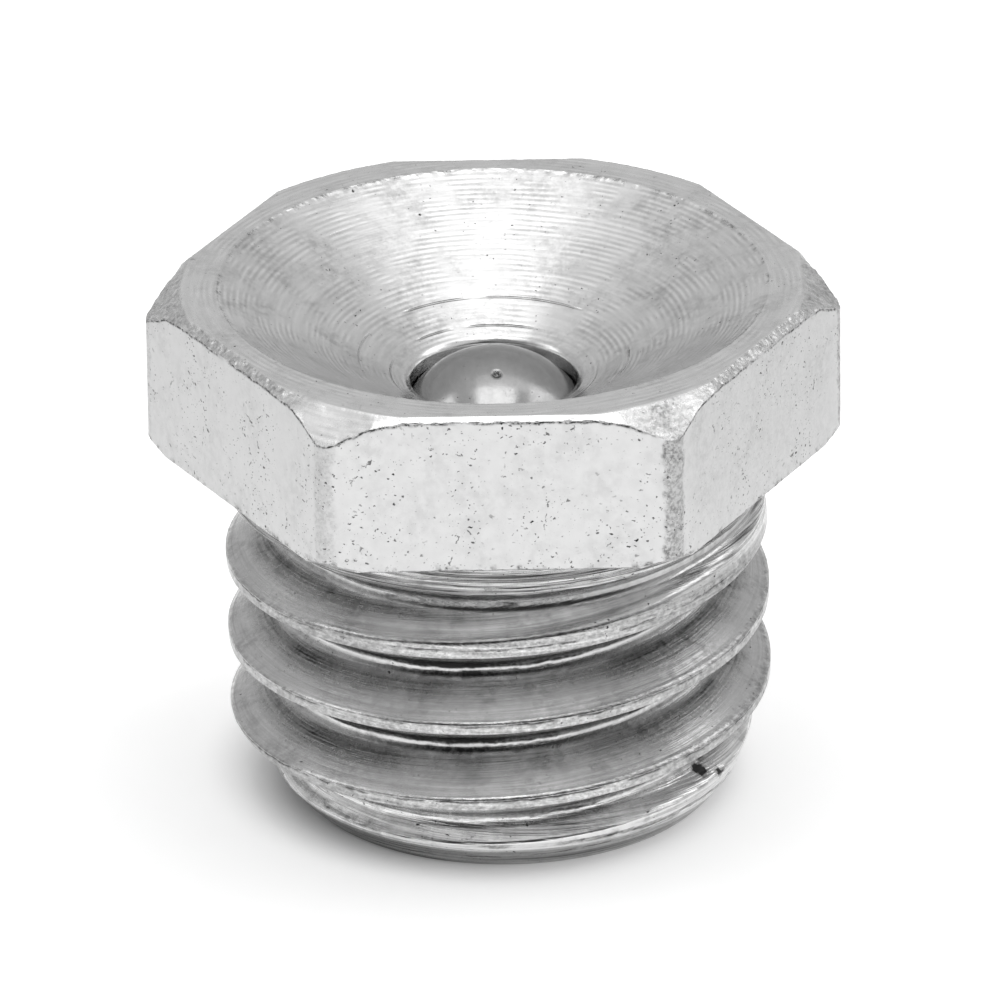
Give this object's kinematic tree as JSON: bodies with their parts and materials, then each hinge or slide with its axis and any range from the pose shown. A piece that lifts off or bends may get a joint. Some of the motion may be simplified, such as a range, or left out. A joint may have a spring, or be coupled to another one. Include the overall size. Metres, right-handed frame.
{
  "type": "grease nipple",
  "caption": "Flush funnel-head grease nipple with a hexagon head, a sprung ball check valve in the funnel's throat and a short coarse metric thread.",
  "frame": {"origin": "on the nipple's axis, in the plane of the seating face under the hexagon", "axes": "+Z out of the funnel along the axis, +Y square to one flat of the hexagon, +X through the corner between two other flats"},
  "size_m": [0.0102, 0.009, 0.008],
  "materials": {
    "plated_steel": "turned steel with a thin bright zinc plating, lathe marks showing through, small pits on the flats",
    "ball_steel": "polished bearing ball",
    "spring_steel": "plain drawn spring wire"
  },
  "bodies": {
    "body": {"nipple_body": "plated_steel", "return_spring": "spring_steel"},
    "ball": {"check_ball": "ball_steel"}
  },
  "joints": [
    {"name": "ball_lift", "type": "slide", "parent": "body", "child": "ball", "axis": [0, 0, -1], "range_m": [0, 0.0015], "stiffness_N_per_m": 400, "springref_m": -0.0015, "deforming": ["return_spring"]}
  ]
}
